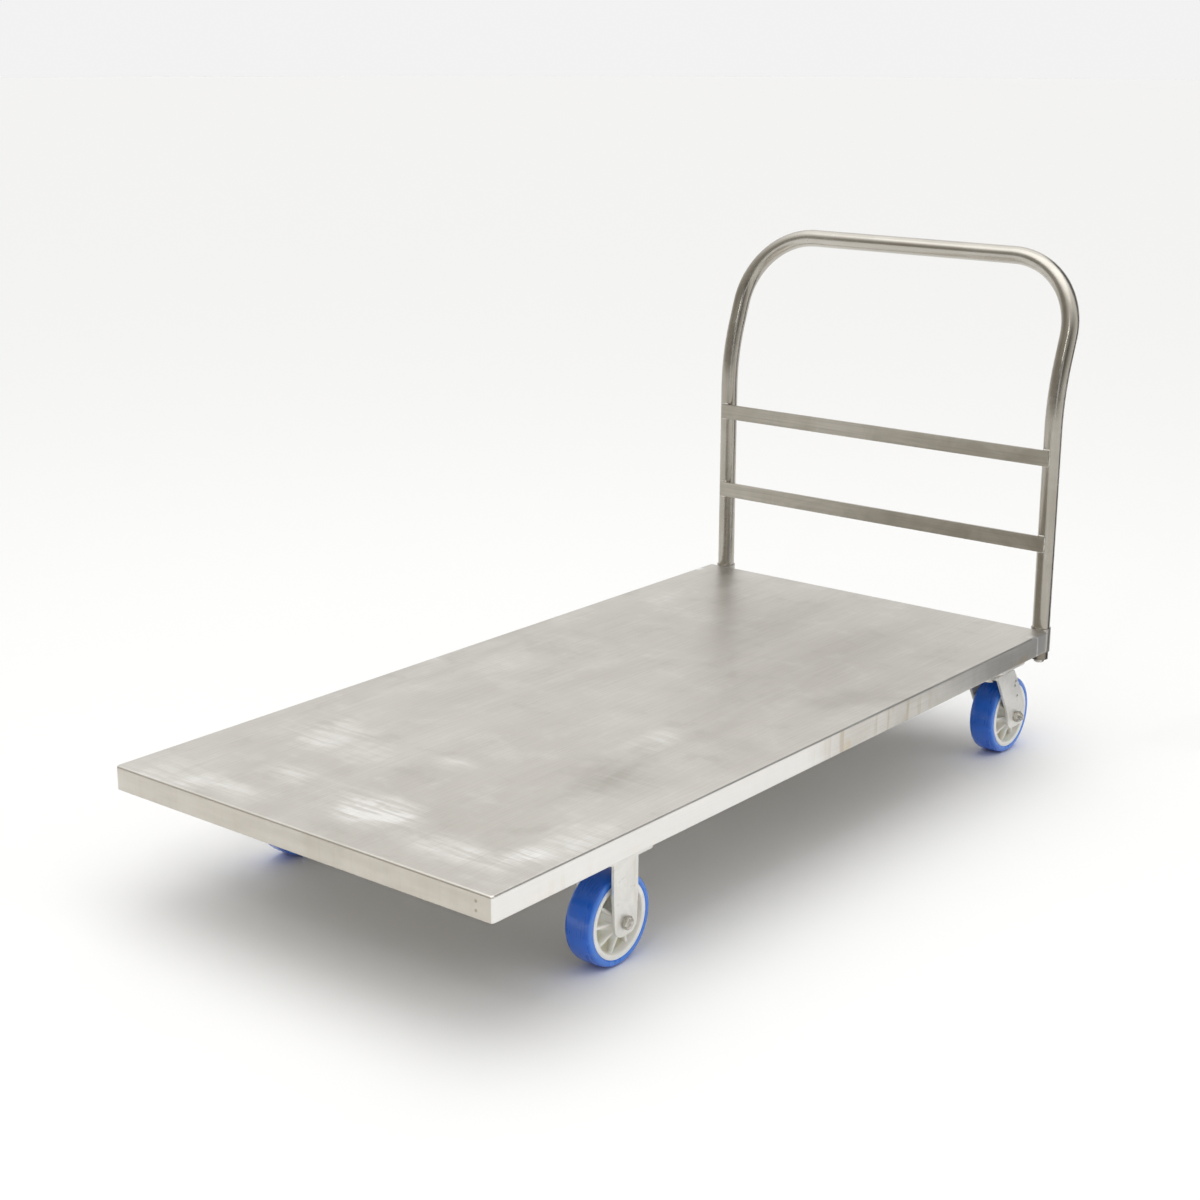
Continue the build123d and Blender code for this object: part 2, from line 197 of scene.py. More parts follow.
def deck_paint():
    """Hand-ground stainless sheet: grain along X on top and sides, clouds, rubbed patches."""
    p = Paint("brushed_deck", 1.0, 0.4)
    cloud = p.noise(1.0, 5.0, 0.6, 0.4, p.stretch(1.8, 3.6, 4.0))
    bands = p.noise(1.0, 5.0, 0.62, 0.15, p.stretch(1.1, 17.0, 17.0))
    grain_x = p.noise(1.0, 3.0, 0.6, 0.0, p.stretch(6.0, 420.0, 420.0))
    grain_y = p.noise(1.0, 3.0, 0.6, 0.0, p.stretch(420.0, 6.0, 60.0))
    x, _, z = p.axes()
    front = p.span(x, cad_high.x - 0.0015, cad_high.x - 0.0008)
    grain = p.mix(front, grain_x, grain_y)
    # rubbed, whiter patches, thickest near the front edge, each hatched across by the abrasive
    hatch = p.noise(1.0, 4.0, 0.65, 0.3, p.stretch(95.0, 9.0, 14.0))
    fuzz = p.noise(1.0, 5.0, 0.62, 0.6, p.stretch(9.0, 12.0, 12.0))
    swipes = p.noise(1.0, 4.0, 0.5, 0.1, p.stretch(3.2, 6.0, 6.0))
    forward = p.span(x, -0.2, 0.8, -0.1, 0.075)
    rubbed = p.span(p.maths("ADD", swipes, forward), 0.52, 0.72, 0.0, 0.55)
    for (px, py), (rx, ry), strength in RUBS:
        spot = near(p, (px, py, 0.236), (rx, ry, 0.05))
        rubbed = p.maths("ADD", rubbed, p.maths("MULTIPLY", spot, strength))
    rubbed = p.maths("MULTIPLY", rubbed, p.span(fuzz, 0.3, 0.6, 0.4, 1.15))
    rubbed = p.maths("MULTIPLY", rubbed, p.span(hatch, 0.36, 0.6, 0.35, 1.1))
    rubbed = p.maths("MULTIPLY", rubbed, p.span(z, 0.2345, 0.236, 0.25, 1.0))
    # darker handling marks
    dark = p.span(p.noise(1.0, 5.0, 0.6, 0.35, p.stretch(1.7, 4.6, 6.0)), 0.55, 0.75)
    for (px, py), (rx, ry), strength in STAINS:
        spot = near(p, (px, py, 0.236), (rx, ry, 0.05))
        hatched = p.span(hatch, 0.25, 0.7, 0.35 * strength, strength)
        dark = p.maths("ADD", dark, p.maths("MULTIPLY", spot, hatched))
    base = p.mix(p.span(cloud, 0.3, 0.7), (0.585, 0.56, 0.515), (0.67, 0.65, 0.61))
    base = p.mix(p.span(bands, 0.3, 0.7, 0.0, 0.34), base, (0.70, 0.675, 0.625))
    mottle = p.noise(1.0, 5.0, 0.66, 0.25, p.stretch(11.0, 9.0, 9.0))
    base = p.mix(p.span(mottle, 0.5, 0.72, 0.0, 0.5), base, (0.76, 0.745, 0.71))
    base = p.mix(p.span(mottle, 0.46, 0.3, 0.0, 0.35), base, (0.47, 0.45, 0.405))
    base = p.mix(p.maths("MULTIPLY", dark, 0.38), base, (0.38, 0.36, 0.32))
    base = p.mix(p.span(rubbed, 0.0, 1.0, 0.0, 0.8, smooth=False), base, (0.93, 0.92, 0.90))
    base = p.mix(p.span(grain, 0.25, 0.75, 0.0, 0.22), base, (0.42, 0.40, 0.365))
    # heat tint on the skirts where the caster pads and channels are welded behind them
    tint = None
    for pad_x in (0.5345, -0.6295, 0.7615, -0.0475):
        for sign in (1, -1):
            here = near(p, (pad_x, sign * 0.4, 0.199), (0.075, 0.02, 0.032))
            tint = here if tint is None else p.maths("ADD", tint, here)
    mottled = p.span(p.noise(38.0, 4.0, 0.6, 0.6), 0.4, 0.66)
    tint = p.maths("MULTIPLY", p.maths("MULTIPLY", tint, mottled), 0.75)
    base = p.mix(tint, base, (0.60, 0.50, 0.34))
    # runs and blotches on the skirts
    skirt = p.span(z, 0.2325, 0.2345, 1.0, 0.0)
    runs = p.noise(1.0, 4.0, 0.55, 0.2, p.stretch(48.0, 48.0, 5.0))
    middle_runs = near(p, (-0.09, 0.4, 0.21), (0.26, 0.03, 0.05))
    front_runs = near(p, (0.72, 0.4, 0.2), (0.12, 0.03, 0.03))
    reach = p.maths("ADD", middle_runs, front_runs)
    runs = p.maths("MULTIPLY", p.span(runs, 0.5, 0.66), p.span(reach, 0.0, 0.5, 0.12, 0.7))
    base = p.mix(p.maths("MULTIPLY", runs, skirt), base, (0.47, 0.40, 0.29))
    # painted reflection: the side skirts are painted paler from the middle forward, for the bright floor and
    # walls they reflect
    aside = p.maths("SUBTRACT", skirt, front)
    skirt_reflection_mask = p.maths("MULTIPLY", p.span(x, -0.06, 0.12, 0.0, 0.72), aside)
    base = p.mix(p.maths("MAXIMUM", skirt_reflection_mask, 0.0), base, (0.93, 0.92, 0.90))
    # partly painted highlight: the ground seam by each rear corner is painted near white, for its real polish
    # and for the highlight on the skirt's end edge
    weld = p.attribute("weld")
    base = p.mix(weld, base, (0.88, 0.87, 0.85))
    base = p.mix(p.maths("MULTIPLY", front, 0.3), base, (0.56, 0.50, 0.40))
    for spot_z in SPOT_WELD_HEIGHTS:
        burnt = near(p, (cad_high.x, SPOT_WELD_Y, spot_z), (0.006, 0.0042, 0.0042))
        base = p.mix(p.maths("MULTIPLY", burnt, 0.85), base, (0.33, 0.27, 0.18))
    rough = p.span(cloud, 0.25, 0.75, 0.33, 0.42)
    rough = p.maths("ADD", rough, p.span(rubbed, 0.0, 1.0, 0.0, 0.16))
    rough = p.maths("ADD", rough, p.span(grain, 0.3, 0.7, -0.04, 0.05))
    p.bump(p.noise(1.0, 2.0, 0.5, 0.0, p.stretch(3.0, 3.6, 3.6)), 0.006, 0.22)
    p.bump(p.mix(0.5, bands, hatch), 0.0006, 0.18)
    p.bump(grain, 0.00008, 0.5)
    return p.done(base, rough)


def tube_paint(name, grain_scale, polish, low, high, streaks=1.0, grip_scale=None):
    """Satin stainless, drawn or ground one way, darker and warmer than the deck.

    streaks scales the grain's contrast. grip_scale is the grain of the part above the posts.
    """
    p = Paint(name, 1.0, polish, 0.0004)
    z = p.axes()["Z"]
    grain = p.noise(1.0, 4.0, 0.62, 0.1, p.stretch(*grain_scale))
    coarse = p.noise(1.0, 4.0, 0.6, 0.2, p.stretch(*[s / 6 for s in grain_scale]))
    if grip_scale:
        above = p.span(z, 0.84, 0.92)
        grain = p.mix(above, grain, p.noise(1.0, 4.0, 0.62, 0.1, p.stretch(*grip_scale)))
        coarse = p.mix(above, coarse, p.noise(1.0, 4.0, 0.6, 0.2, p.stretch(*[s / 6 for s in grip_scale])))
    cloud = p.noise(9.0, 4.0, 0.6, 0.7)
    base = p.mix(p.span(cloud, 0.3, 0.7), low, high)
    base = p.mix(p.span(grain, 0.35, 0.8, 0.0, 0.45 * streaks), base, tuple(c * 0.72 for c in low))
    base = p.mix(p.span(coarse, 0.45, 0.75, 0.0, 0.3 * streaks), base, tuple(min(1.0, c * 1.25) for c in high))
    cloudy = p.span(cloud, 0.3, 0.7, polish - 0.04, polish + 0.05)
    rough = p.maths("ADD", cloudy, p.span(grain, 0.3, 0.7, -0.03, 0.04))
    # painted highlight: the grip above the posts is painted paler, for the overhead light its top reflects
    if grip_scale:
        base = p.mix(p.maths("MULTIPLY", above, 0.3), base, (0.72, 0.70, 0.66))
    # painted shade: under the deck, the tube ends below the sockets and the steel below the skirt are painted
    # dark
    foot = p.span(z, 0.188, 0.193, 0.75, 0.0)
    base = p.mix(foot, base, (0.17, 0.145, 0.11))
    p.bump(p.mix(0.5, grain, coarse), 0.00012, 0.5 * streaks)
    return p.done(base, rough)


def pressed_steel_paint():
    """Caster forks and plates: pale, tumbled stainless with small scuffs."""
    p = Paint("tumbled_caster_steel", 0.85, 0.5, 0.0007)
    cloud = p.noise(22.0, 5.0, 0.65, 0.5)
    speck = p.noise(260.0, 2.0, 0.5)
    streak = p.noise(1.0, 4.0, 0.6, 0.3, p.stretch(90.0, 90.0, 12.0))
    scuff = p.span(p.noise(1.0, 4.0, 0.6, 0.8, p.stretch(60.0, 60.0, 90.0)), 0.6, 0.75)
    base = p.mix(p.span(cloud, 0.3, 0.7), (0.78, 0.765, 0.725), (0.90, 0.885, 0.85))
    base = p.mix(p.span(streak, 0.55, 0.8, 0.0, 0.4), base, (0.62, 0.57, 0.48))
    base = p.mix(p.maths("MULTIPLY", scuff, 0.35), base, (0.42, 0.4, 0.37))
    rough = p.span(cloud, 0.3, 0.7, 0.42, 0.56)
    p.bump(p.mix(0.6, cloud, speck), 0.00012, 0.6)
    return p.done(base, rough)


def fastener_paint():
    p = Paint("turned_fastener_steel", 1.0, 0.25, 0.0004)
    grime = p.noise(150.0, 4.0, 0.6, 0.6)
    turned = p.noise(1.0, 3.0, 0.6, 0.0, p.stretch(500.0, 120.0, 500.0))
    base = p.mix(p.span(grime, 0.35, 0.7), (0.66, 0.635, 0.58), (0.40, 0.375, 0.335))
    p.bump(turned, 0.00005, 0.6)
    return p.done(base, p.span(grime, 0.3, 0.7, 0.18, 0.34))


def bearing_paint():
    p = Paint("ground_bearing_steel", 1.0, 0.15)
    oil = p.noise(90.0, 3.0, 0.55, 0.4)
    base = p.mix(p.span(oil, 0.4, 0.7), (0.72, 0.72, 0.71), (0.48, 0.45, 0.40))
    p.bump(p.noise(1.0, 2.0, 0.5, 0.0, p.stretch(200.0, 900.0, 200.0)), 0.00003, 0.5)
    return p.done(base, p.span(oil, 0.3, 0.7, 0.1, 0.24))


def tread_paint():
    """Blue cast polyurethane: deep and glossy, scuffed on the running face."""
    p = Paint("blue_polyurethane", 0.0, 0.3, Coat_Weight=0.6, Coat_Roughness=0.08, IOR=1.5)
    swirl = p.noise(14.0, 4.0, 0.55, 0.5)
    scuff = p.noise(1.0, 4.0, 0.6, 0.4, p.stretch(26.0, 380.0, 26.0))
    smear = p.noise(1.0, 4.0, 0.6, 1.0, p.stretch(30.0, 14.0, 30.0))
    y = p.axes()["Y"]
    side = p.span(p.maths("ABSOLUTE", y), 0.0205, 0.0238)
    running = p.maths("SUBTRACT", 1.0, p.span(p.maths("ABSOLUTE", y), 0.012, 0.02))
    base = p.mix(p.span(swirl, 0.3, 0.7), (0.010, 0.125, 0.66), (0.014, 0.165, 0.82))
    base = p.mix(p.maths("MULTIPLY", side, 0.55), base, (0.05, 0.25, 0.80))
    worn = p.maths("MULTIPLY", p.span(scuff, 0.5, 0.75), p.span(smear, 0.42, 0.62))
    base = p.mix(p.maths("MULTIPLY", p.maths("MULTIPLY", worn, running), 0.4), base, (0.09, 0.23, 0.55))
    dust = p.maths("MULTIPLY", p.span(smear, 0.6, 0.75), 0.22)
    base = p.mix(dust, base, (0.20, 0.33, 0.60))
    scuffed = p.maths("MULTIPLY", running, p.span(scuff, 0.4, 0.7, 0.02, 0.16))
    rough = p.maths("ADD", p.span(swirl, 0.3, 0.7, 0.22, 0.3), scuffed)
    p.bump(p.mix(0.5, scuff, swirl), 0.00012, 0.35)
    return p.done(base, rough)


def nylon_paint():
    """Cream moulded nylon; the "pocket" attribute is 1 on the floors between the ribs."""
    p = Paint("cream_nylon", 0.0, 0.42, Subsurface_Weight=0.12, Subsurface_Scale=0.004)
    cloud = p.noise(35.0, 4.0, 0.55, 0.4)
    grit = p.noise(420.0, 2.0, 0.5)
    pocket = p.attribute("pocket")
    base = p.mix(p.span(cloud, 0.3, 0.7), (0.86, 0.855, 0.81), (0.93, 0.925, 0.89))
    # painted shade: the pocket floors between the ribs are painted dark olive, for the shade under the ribs
    # and the light scattered in the nylon
    pocket_shade = p.maths("MULTIPLY", pocket, p.span(cloud, 0.25, 0.65, 0.4, 0.75))
    base = p.mix(pocket_shade, base, (0.47, 0.44, 0.27))
    p.bump(grit, 0.00006, 0.4)
    return p.done(base, p.span(cloud, 0.3, 0.7, 0.36, 0.5))


def dark_plastic_paint(name, low, high, roughness=0.55):
    p = Paint(name, 0.0, roughness, 0.0004)
    cloud = p.noise(60.0, 4.0, 0.6, 0.5)
    base = p.mix(p.span(cloud, 0.3, 0.7), low, high)
    p.bump(p.noise(500.0, 2.0, 0.5), 0.00006, 0.5)
    return p.done(base, p.span(cloud, 0.3, 0.7, roughness - 0.08, roughness + 0.08))


def weld_paint():
    """Bright bead with straw and blue heat tint in places."""
    p = Paint("weld_bead", 1.0, 0.3)
    cloud = p.noise(120.0, 4.0, 0.6, 0.8)
    tint = p.noise(48.0, 3.0, 0.5, 0.3)
    base = p.mix(p.span(cloud, 0.3, 0.7), (0.52, 0.50, 0.46), (0.80, 0.78, 0.74))
    base = p.mix(p.span(tint, 0.56, 0.7, 0.0, 0.6), base, (0.55, 0.38, 0.2))
    base = p.mix(p.span(tint, 0.42, 0.3, 0.0, 0.4), base, (0.36, 0.38, 0.46))
    p.bump(cloud, 0.0001, 0.5)
    return p.done(base, p.span(cloud, 0.3, 0.7, 0.22, 0.4))


DECK = deck_paint()
POST = tube_paint(
    "drawn_tube_steel", (150.0, 150.0, 7.0), 0.24, (0.38, 0.352, 0.302), (0.475, 0.447, 0.397),
    streaks=0.5, grip_scale=(150.0, 7.0, 150.0),
)
BAR = tube_paint("ground_flat_bar", (140.0, 5.0, 260.0), 0.38, (0.39, 0.36, 0.305), (0.52, 0.49, 0.435))
SOCKET = tube_paint("ground_socket_steel", (120.0, 120.0, 30.0), 0.33, (0.38, 0.36, 0.325), (0.52, 0.50, 0.46))
CHANNEL = tube_paint("mill_channel_steel", (160.0, 6.0, 160.0), 0.45, (0.50, 0.47, 0.42), (0.65, 0.625, 0.58))
CASTER = pressed_steel_paint()
FASTENER = fastener_paint()
BEARING = bearing_paint()
TREAD = tread_paint()
NYLON = nylon_paint()
WASHER = dark_plastic_paint("acetal_washer", (0.62, 0.61, 0.56), (0.74, 0.73, 0.68), 0.45)
PLUG = dark_plastic_paint("tube_plug", (0.035, 0.034, 0.032), (0.07, 0.068, 0.062))
WELD = weld_paint()

PAINTS = (
    ("deck_pan", DECK),
    ("handle_tube", POST),
    ("crossbar", BAR),
    ("handle_socket", SOCKET),
    ("channel", CHANNEL),
    ("handle_plug", PLUG),
    ("handle_bolt", FASTENER),
    ("fasteners", FASTENER),
    ("kingpin", FASTENER),
    ("axle_bolt", FASTENER),
    ("axle_nut", FASTENER),
    ("axle_sleeve", BEARING),
    ("bearing", BEARING),
    ("balls", BEARING),
    ("washers", WASHER),
    ("seal", CASTER),
    ("bracket", CASTER),
    ("fork", CASTER),
    ("plate", CASTER),
    ("tread", TREAD),
    ("hub", NYLON),
)
for name, node in NODES.items():
    paint = next(material for word, material in PAINTS if word in name)
    node.data.materials.clear()
    node.data.materials.append(paint)


# ---------------------------------------------------------------- mesh tools
def build(name, verts, faces, material, body, at=(0, 0, 0), sharp=40, data=None, weights=None):
    """A mesh piece in the row frame. verts are relative to at; weights are named point values."""
    if data is None:
        data = bpy.data.meshes.new(name)
        data.from_pydata(verts, [], faces)
        shell = bmesh.new()
        shell.from_mesh(data)
        bmesh.ops.recalc_face_normals(shell, faces=shell.faces)
        shell.to_mesh(data)
        shell.free()
        data.materials.append(material)
        data.polygons.foreach_set("use_smooth", [True] * len(data.polygons))
        data.set_sharp_from_angle(angle=math.radians(sharp))
        for key, values in (weights or {}).items():
            data.attributes.new(key, "FLOAT", "POINT").data.foreach_set("value", values)
        data.update()
    piece = bpy.data.objects.new(name, data)
    bpy.context.scene.collection.objects.link(piece)
    piece.location = at
    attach(piece, body)
    return piece


def wrap(rows, columns, close_rows=False):
    """Quads of a grid whose columns close on themselves."""
    faces = []
    for row in range(rows if close_rows else rows - 1):
        after = (row + 1) % rows
        for column in range(columns):
            beside = (column + 1) % columns
            here, ahead = row * columns, after * columns
            faces.append((here + column, here + beside, ahead + beside, ahead + column))
    return faces


def cap(faces, start, count):
    """Close a ring of points with one face."""
    faces.append(tuple(range(start, start + count)))


def ease(value, low, high):
    t = min(1.0, max(0.0, (value - low) / (high - low)))
    return t * t * (3 - 2 * t)


def arc(centre, radius, start, end, steps):
    """Points of an arc in a plane, angles in degrees."""
    points = []
    for step in range(steps + 1):
        turn = math.radians(start + (end - start) * step / steps)
        points.append((centre[0] + radius * math.cos(turn), centre[1] + radius * math.sin(turn)))
    return points


# ---------------------------------------------------------------- folded deck
def spread(low, high, step, dense=(), fine=0.8 * MM):
    """Places from low to high about step apart, and fine apart inside the dense stretches."""
    places = [low]
    while places[-1] < high - 1e-6:
        here = places[-1]
        gap = fine if any(a - step <= here <= b for a, b in dense) else step
        places.append(min(high, here + gap))
    if places[-1] - places[-2] < fine / 2:
        places.pop(-2)
    return places


def folded_deck():
    """The pan as one closed sheet: flush ground corner welds and two sunk spot welds."""
    low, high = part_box("deck_pan")
    sheet, corner, fold = 2.5 * MM, 7 * MM, 4 * MM
    half_y = (high.y - low.y) / 2
    seam_x = low.x + 40 * MM
    seam_dense = [(seam_x - 6 * MM, seam_x + 24 * MM)]
    run_x = spread(low.x + corner, high.x - corner, 24 * MM, seam_dense)
    run_y = spread(low.y + corner, high.y - corner, 24 * MM, [(0.363, 0.377)])
    # the loop: (x, y, outward direction) at the skirt's outer face, anticlockwise
    loop = []
    for y in run_y:
        loop.append((high.x, y, 0.0))
    for x, y in arc((high.x - corner, high.y - corner), corner, 0, 90, 7)[1:]:
        loop.append((x, y, math.atan2(y - high.y + corner, x - high.x + corner)))
    for x in reversed(run_x[:-1]):
        loop.append((x, high.y, math.pi / 2))
    for x, y in arc((low.x + corner, high.y - corner), corner, 90, 180, 7)[1:]:
        loop.append((x, y, math.atan2(y - high.y + corner, x - low.x - corner)))
    for y in reversed(run_y[:-1]):
        loop.append((low.x, y, math.pi))
    for x, y in arc((low.x + corner, low.y + corner), corner, 180, 270, 7)[1:]:
        loop.append((x, y, math.atan2(y - low.y - corner, x - low.x - corner)))
    for x in run_x[1:]:
        loop.append((x, low.y, -math.pi / 2))
    for x, y in arc((high.x - corner, low.y + corner), corner, 270, 360, 7)[1:-1]:
        loop.append((x, y, math.atan2(y - low.y - corner, x - high.x + corner)))
    # the section: (inset, height), from inside the skirt, round its foot, up and over the fold
    inner_top = high.z - sheet
    section = [(sheet + 5 * MM, inner_top), (sheet + 1.6 * MM, inner_top)]
    section += [(sheet + 0.4 * MM, inner_top - 0.4 * MM), (sheet, inner_top - 1.6 * MM)]
    section += [(sheet, low.z + 0.5 * MM), (sheet - 0.5 * MM, low.z)]
    section += [(0.5 * MM, low.z), (0.0, low.z + 0.5 * MM)]
    rise = low.z + 2 * MM
    while rise < high.z - fold - 0.5 * MM:
        section.append((0.0, rise))
        rise += 0.85 * MM
    section += [(fold - a, high.z - fold + b) for a, b in arc((0, 0), fold, 0, 90, 7)]
    section += [(fold + 1.2 * MM, high.z), (fold + 14 * MM, high.z)]
    verts, ground = [], []
    for inset, height in section:
        for x, y, outward in loop:
            dx, dy = math.cos(outward), math.sin(outward)
            depth, polish = 0.0, 0.0
            if inset < fold + 8 * MM and height > low.z + 0.2 * MM and abs(y) > half_y - 12 * MM:
                # how far from the seam, which bends forward over the last 9 mm
                bend = 9 * MM
                top = high.z - bend - 0.5 * MM
                if height < top:
                    off = x - seam_x
                elif x < seam_x + bend:
                    off = bend - math.hypot(x - seam_x - bend, height - top)
                else:
                    off = (top + bend - height) if x < seam_x + 22 * MM else 1.0
                off += 0.5 * MM * noise.noise(Vector((x * 120, y * 50, height * 160)))
                if inset < sheet and height < high.z - 1.0 * MM:
                    depth += 0.32 * MM * math.exp(-((abs(off) - 1.7 * MM) / (0.75 * MM)) ** 2)
                # the seam's polish weight, which the deck paints near white: real polish and painted highlight
                polish = math.exp(-(off / (2.2 * MM)) ** 2)
            if x > high.x - 0.1 * MM and inset < 0.1 * MM:
                for spot_z in SPOT_WELD_HEIGHTS:
                    away = math.hypot(y - SPOT_WELD_Y, height - spot_z)
                    depth += 0.55 * MM * (1 - ease(away, 0.8 * MM, 2.6 * MM))
            verts.append((x - dx * (inset + depth), y - dy * (inset + depth), height))
            ground.append(polish)
    count = len(loop)
    # an inset past the corner radius folds the corner over, so those points are set square
    tight = corner - 0.05 * MM
    for row, (inset, height) in enumerate(section):
        if inset <= tight:
            continue
        for column, (x, y, outward) in enumerate(loop):
            keep_x = min(max(x, low.x + inset), high.x - inset)
            keep_y = min(max(y, low.y + inset), high.y - inset)
            verts[row * count + column] = (keep_x, keep_y, height)
    faces = wrap(len(section), count)
    cap(faces, 0, count)
    cap(faces, (len(section) - 1) * count, count)
    piece = build("folded_deck", verts, faces, DECK, "frame", sharp=50, weights={"weld": ground})
    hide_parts("deck_pan")
    return piece


folded_deck()


# ---------------------------------------------------------------- wheels
def lathe(profile, steps):
    """Closed (axial, radius) outline turned about Y."""
    verts = []
    for axial, radius in profile:
        for step in range(steps):
            turn = TURN * step / steps
            verts.append((radius * math.cos(turn), axial, radius * math.sin(turn)))
    return verts, wrap(len(profile), steps, close_rows=True)


def tread_profile():
    """Crowned running face, broad shoulders, a step where the side meets the rim."""
    half, rim, out = 24.5, 62.5, 75.0
    side = [(half - 1.1, rim), (half - 1.0, rim + 0.9), (half - 0.35, rim + 1.3), (half - 0.05, rim + 2.0)]
    side += [(half, rim + 3.4), (half, rim + 5.5)]
    shoulder = [(half - 0.25, 69.6), (half - 0.9, 71.0), (half - 2.0, 72.2), (half - 3.6, 73.2)]
    shoulder += [(half - 5.6, 73.95), (half - 8.0, 74.45), (half - 11.0, 74.75), (half - 15.0, 74.92)]
    shoulder += [(0.5, out - 0.03)]
    line = [(0.28, out - 0.01), (0.0, out)]
    one = side + shoulder + line
    other = [(-a, r) for a, r in reversed(one[:-1])]
    inside = [(-half + 2.2, rim), (0.0, rim), (half - 2.2, rim)]
    return [(a * MM, r * MM) for a, r in one + other + inside]


RIBS = 9
# the axle, in millimetres
LEG_FACE = 36.0  # from the wheel's middle plane to the outside of a fork leg
ACROSS_FLATS = 19.0
HEAD_HEIGHT = 7.5
NUT_HEIGHT = 12.0
SHANK_RADIUS = 5.95
NUT_HOLE_RADIUS = 6.05
STUD = 16.0
PITCH = 1.75


def base_height(r):
    """Half thickness of the hub without its ribs, in millimetres, at a radius."""
    outline = (
        (15.0, 28.4), (15.6, 29.0), (19.2, 29.0), (20.0, 28.3), (21.5, 22.0), (24.0, 13.5), (26.5, 10.6),
        (29.0, 8.9), (31.5, 8.1), (47.0, 8.0), (50.2, 8.6), (52.0, 10.4), (52.9, 12.6), (53.5, 21.6),
        (54.1, 23.6), (55.4, 24.5), (61.2, 24.5), (62.1, 24.1), (62.5, 23.2),
    )
    for (r0, h0), (r1, h1) in zip(outline, outline[1:]):
        if r <= r1:
            return h0 + (h1 - h0) * (r - r0) / (r1 - r0)
    return outline[-1][1]


def rib_share(away):
    """How much of the rib stands at a distance from its middle plane, in millimetres."""
    outline = (
        (0, 1), (1.4, 0.995), (2.0, 0.975), (2.4, 0.92), (2.6, 0.8), (2.95, 0.16), (3.3, 0.07), (3.9, 0.02),
        (5.0, 0),
    )
    for (a0, s0), (a1, s1) in zip(outline, outline[1:]):
        if away <= a1:
            return s0 + (s1 - s0) * (away - a0) / (a1 - a0)
    return 0.0


def hub_mesh():
    """Both faces of a ribbed nylon hub as one closed skin whose columns follow the rib walls."""
    radii = [15, 15.6, 17.5, 19.2, 20, 20.7, 21.5, 22.8, 24, 25.2, 26.5, 28, 29.5, 31.2, 33, 36, 39, 42.5, 46]
    radii += [48, 49.8, 50.8, 51.8, 52.4, 52.8, 53.1, 53.3, 53.5, 53.8, 54.1, 54.6, 55.4]
    radii += [57, 59.4, 61.2, 61.7, 62.1, 62.5]
    offsets = [0, 1.4, 2.0, 2.4, 2.6, 2.95, 3.3, 3.9, 5.0]
    between = 7
    sector = TURN / RIBS
    verts, pockets = [], []
    columns = 0
    for face in (1, -1):
        for r in radii if face > 0 else reversed(radii):
            base = base_height(r)
            top = 25.0 + (15.0 - 25.0) * (r - 20.5) / (56 - 20.5)
            columns = 0
            for rib in range(RIBS):
                middle = sector * rib
                last = math.asin(offsets[-1] / r)
                angles = [(-math.asin(w / r), w) for w in reversed(offsets[1:])]
                angles += [(math.asin(w / r), w) for w in offsets]
                for gap in range(1, between + 1):
                    angles.append((last + (sector - 2 * last) * gap / (between + 1), 99.0))
                for angle, away in angles:
                    height = base
                    if top > base and r > 20:
                        height = base + (top - base) * rib_share(away)
                    # the pocket weight: low floors inside the rib ring, which the nylon paint darkens as
                    # painted shade
                    low = 1 - ease(height, 8.0, 14.0)
                    inside = ease(r, 26.0, 34.0) * (1 - ease(r, 52.0, 53.4))
                    turn = middle + angle
                    verts.append((r * MM * math.cos(turn), face * height * MM, r * MM * math.sin(turn)))
                    pockets.append(low * inside)
                    columns += 1
    rows = 2 * len(radii)
    return verts, wrap(rows, columns, close_rows=True), pockets


def hexagon(turn, across):
    """Radius of a hexagon across flats at an angle."""
    return across / 2 / math.cos((turn % (TURN / 6)) - TURN / 12)


def hex_rings(across, height, face):
    """Rings of a bolt head standing on 0, as (height, radius) at each angle.

    They make the washer face, the chamfers and the dished end.
    """
    steps = 60
    turns = [TURN * step / steps for step in range(steps)]
    flat = across / 2 * 0.97
    drop = [max(0.0, (hexagon(t, across) - flat) * 0.6) for t in turns]
    rings = [[(0.0, face)] * steps, [(0.55, face)] * steps, [(0.6, flat)] * steps]
    rings.append([(0.6 + d, hexagon(t, across)) for d, t in zip(drop, turns)])
    rings.append([(height - d, hexagon(t, across)) for d, t in zip(drop, turns)])
    rings += [[(height, flat)] * steps, [(height, flat * 0.78)] * steps]
    rings += [[(height - 0.25, flat * 0.68)] * steps, [(height - 0.25, flat * 0.3)] * steps]
    return rings, steps


def lock_nut_rings(across, height, hole):
    """Rings of a lock nut standing on 0: chamfered hexagon, round collar, threaded hole's mouth."""
    steps = 60
    turns = [TURN * step / steps for step in range(steps)]
    flat = across / 2 * 0.97
    body = height - 3.2
    drop = [max(0.0, (hexagon(t, across) - flat) * 0.6) for t in turns]
    rings = [[(0.9, hole)] * steps, [(0.0, hole + 0.9)] * steps, [(0.0, flat)] * steps]
    rings.append([(d, hexagon(t, across)) for d, t in zip(drop, turns)])
    rings.append([(body - d, hexagon(t, across)) for d, t in zip(drop, turns)])
    collar = flat - 0.5
    rings += [[(body, flat)] * steps, [(body + 0.15, collar)] * steps, [(height - 1.3, collar)] * steps]
    rings += [[(height - 0.4, collar - 0.45)] * steps, [(height, collar - 1.3)] * steps]
    rings += [[(height, hole + 0.7)] * steps, [(height - 0.7, hole)] * steps]
    return rings, steps


def thread_rings(radius, start, end, pitch, steps=60):
    """Rings of a threaded rod from start to end: the groove winds once for each pitch."""
    rings = []
    fine = pitch / 8
    count = int(round((end - start) / fine))
    for row in range(count + 1):
        height = start + (end - start) * row / count
        ring = []
        for step in range(steps):
            phase = (height / pitch - step / steps) % 1.0
            groove = 0.55 * (1 - abs(2 * phase - 1)) ** 0.85
            taper = ease(end - height, 0.0, 1.4)
            runout = ease(height - start, 0.0, 1.5)
            r = radius - groove * runout * min(1.0, 0.3 + taper) - 0.9 * (1 - taper)
            ring.append((height, r))
        rings.append(ring)
    return rings, steps


